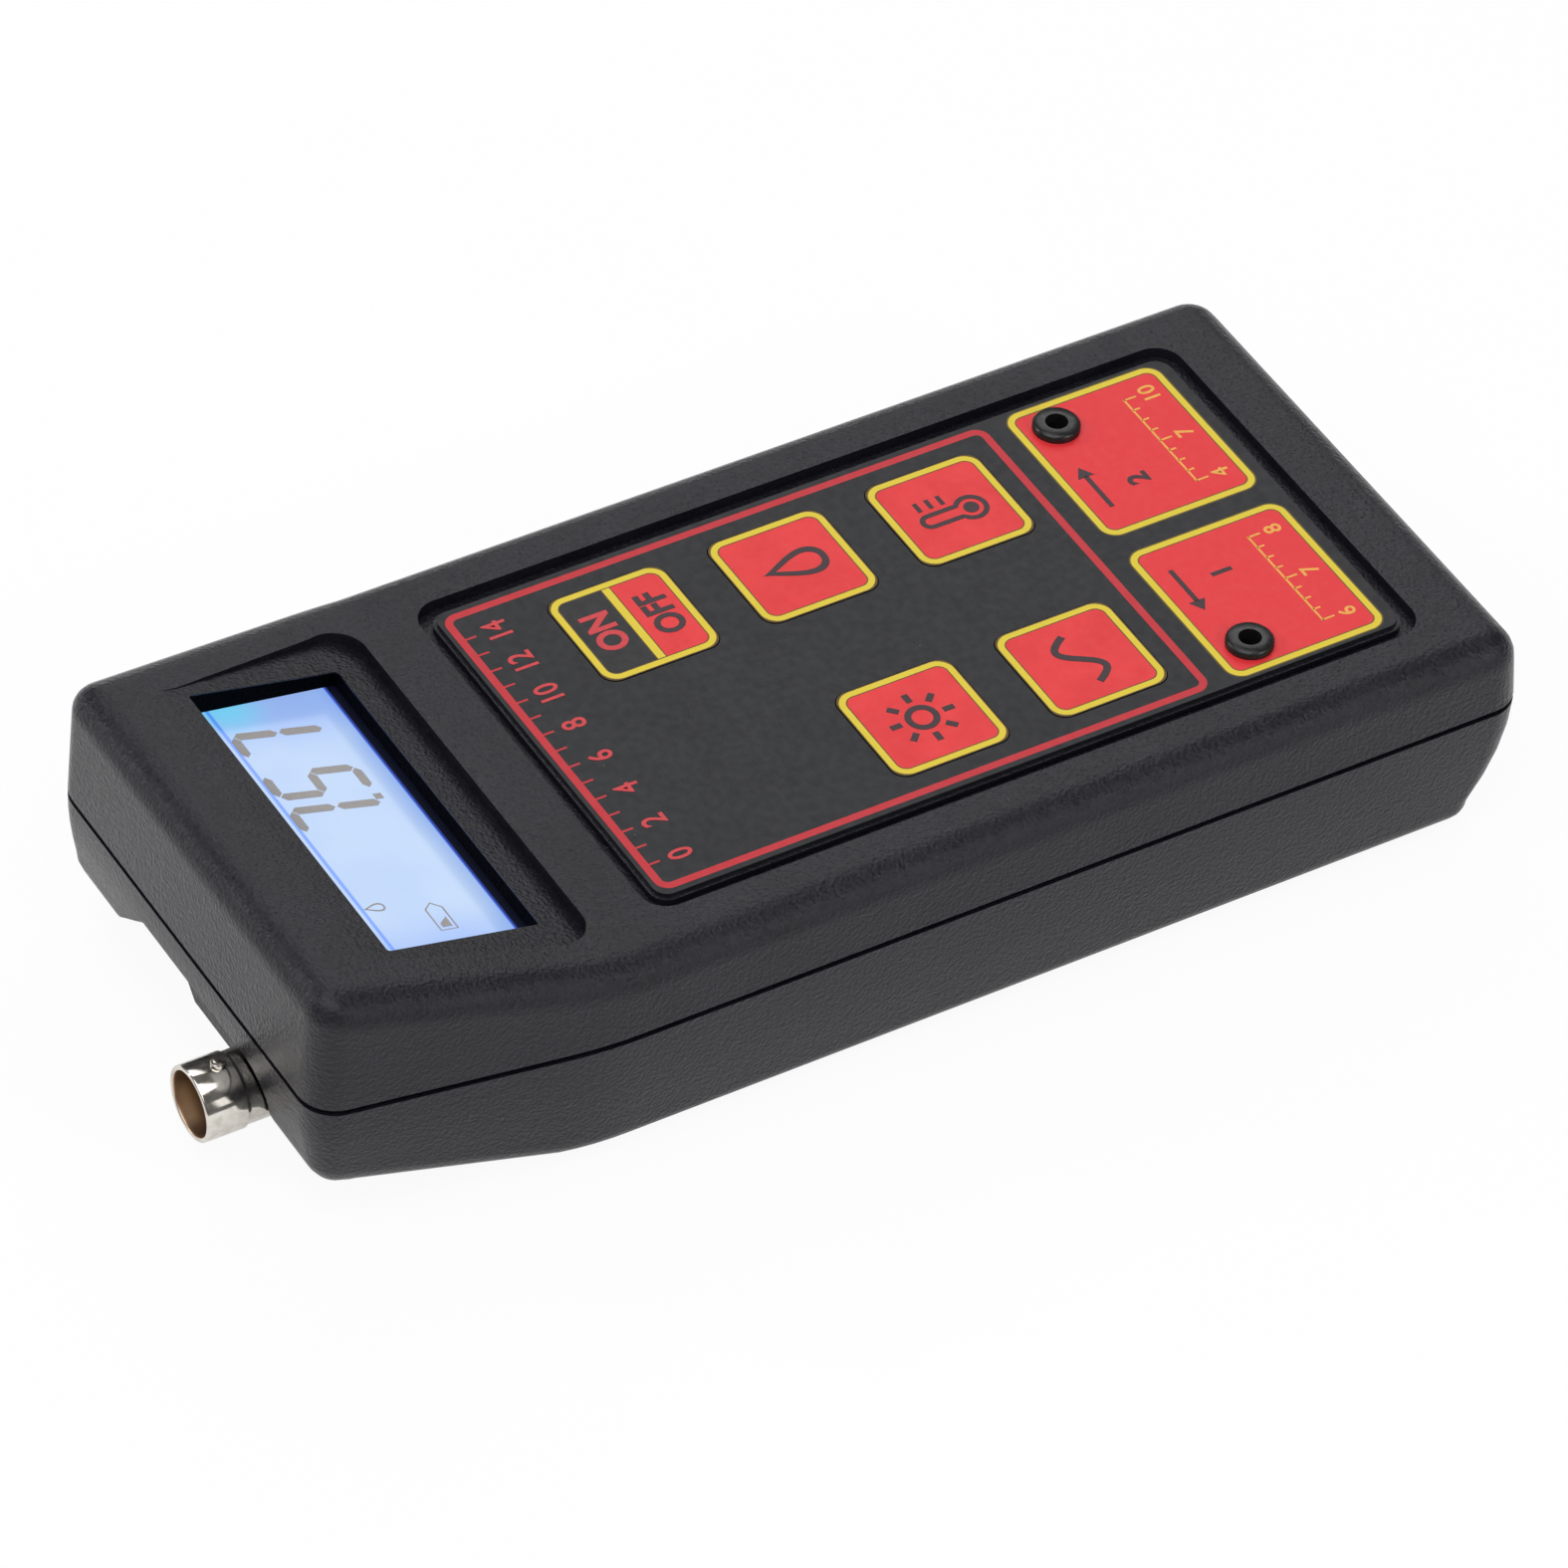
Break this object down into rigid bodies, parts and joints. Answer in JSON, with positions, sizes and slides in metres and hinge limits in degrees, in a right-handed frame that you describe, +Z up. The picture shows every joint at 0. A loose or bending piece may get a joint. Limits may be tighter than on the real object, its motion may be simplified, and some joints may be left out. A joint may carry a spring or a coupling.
{
  "type": "digital ph tester",
  "caption": "Handheld digital pH tester: two-part moulded case, tapered head with tilted backlit display, film keypad, trimmer holes, probe socket and sliding battery door.",
  "frame": {"origin": "on the flat back (rest face), on the centre line, at half the length of the case", "axes": "+X across, +Y along the case towards the display and the probe socket, +Z up out of the keypad face"},
  "size_m": [0.0756, 0.1714, 0.0349],
  "materials": {
    "case_plastic": "fine grained moulding",
    "overlay_film": "printed film, satin",
    "key_film": "printed film, satin",
    "switch_black": "moulded",
    "bush_rubber": "matte",
    "trimmer_blue": "moulded",
    "brass": "turned",
    "display_glass": "backlit display",
    "white_plastic": "moulded",
    "board_green": "solder mask",
    "nickel": "bright nickel plate",
    "zinc_steel": "zinc plate",
    "insulator": "moulded",
    "chip_black": "moulded",
    "capacitor_blue": "sleeved",
    "battery_jacket": "printed jacket, bare",
    "red_wire": "insulated",
    "black_wire": "insulated"
  },
  "bodies": {
    "case": {"front_shell": "case_plastic", "back_shell": "case_plastic", "keypad_overlay": "overlay_film", "switch_bodies": "switch_black", "slope_bush": "bush_rubber", "standard_bush": "bush_rubber", "slope_trimmer_body": "trimmer_blue", "standard_trimmer_body": "trimmer_blue", "display_glass": "display_glass", "display_holder": "white_plastic", "light_panel": "white_plastic", "display_board": "board_green", "display_screws": "zinc_steel", "main_board": "board_green", "board_screws": "zinc_steel", "converter_chip": "chip_black", "input_amplifier": "chip_black", "capacitors": "capacitor_blue", "socket_shell": "nickel", "socket_insulator": "insulator", "socket_contact": "brass", "socket_washer": "nickel", "socket_nut": "nickel", "temperature_jack": "switch_black", "temperature_jack_nut": "nickel", "battery": "battery_jacket", "battery_snap": "switch_black", "red_lead": "red_wire", "black_lead": "black_wire", "case_screws": "zinc_steel"},
    "battery_door": {"battery_door": "case_plastic"},
    "slope_screw": {"slope_trimmer_screw": "brass"},
    "standard_screw": {"standard_trimmer_screw": "brass"},
    "key_on_off": {"key_on_off": "key_film", "switch_button_on_off": "switch_black"},
    "key_ph": {"key_ph": "key_film", "switch_button_ph": "switch_black"},
    "key_celsius": {"key_celsius": "key_film", "switch_button_celsius": "switch_black"},
    "key_millivolt": {"key_millivolt": "key_film", "switch_button_millivolt": "switch_black"},
    "key_light": {"key_light": "key_film", "switch_button_light": "switch_black"}
  },
  "joints": [
    {"name": "battery_door_slide", "type": "slide", "parent": "case", "child": "battery_door", "axis": [0, -1, 0], "range_m": [0, 0.058]},
    {"name": "key_on_off_press", "type": "slide", "parent": "case", "child": "key_on_off", "axis": [0, 0, -1], "range_m": [0, 0.0003], "stiffness_N_per_m": 2000},
    {"name": "key_ph_press", "type": "slide", "parent": "case", "child": "key_ph", "axis": [0, 0, -1], "range_m": [0, 0.0003], "stiffness_N_per_m": 2000},
    {"name": "key_celsius_press", "type": "slide", "parent": "case", "child": "key_celsius", "axis": [0, 0, -1], "range_m": [0, 0.0003], "stiffness_N_per_m": 2000},
    {"name": "key_millivolt_press", "type": "slide", "parent": "case", "child": "key_millivolt", "axis": [0, 0, -1], "range_m": [0, 0.0003], "stiffness_N_per_m": 2000},
    {"name": "key_light_press", "type": "slide", "parent": "case", "child": "key_light", "axis": [0, 0, -1], "range_m": [0, 0.0003], "stiffness_N_per_m": 2000},
    {"name": "slope_screw_turn", "type": "hinge", "parent": "case", "child": "slope_screw", "pos_m": [0.0222, -0.051, 0.024], "axis": [0, 0, 1], "range_deg": [-135, 135]},
    {"name": "standard_screw_turn", "type": "hinge", "parent": "case", "child": "standard_screw", "pos_m": [-0.0222, -0.051, 0.024], "axis": [0, 0, 1], "range_deg": [-135, 135]}
  ]
}
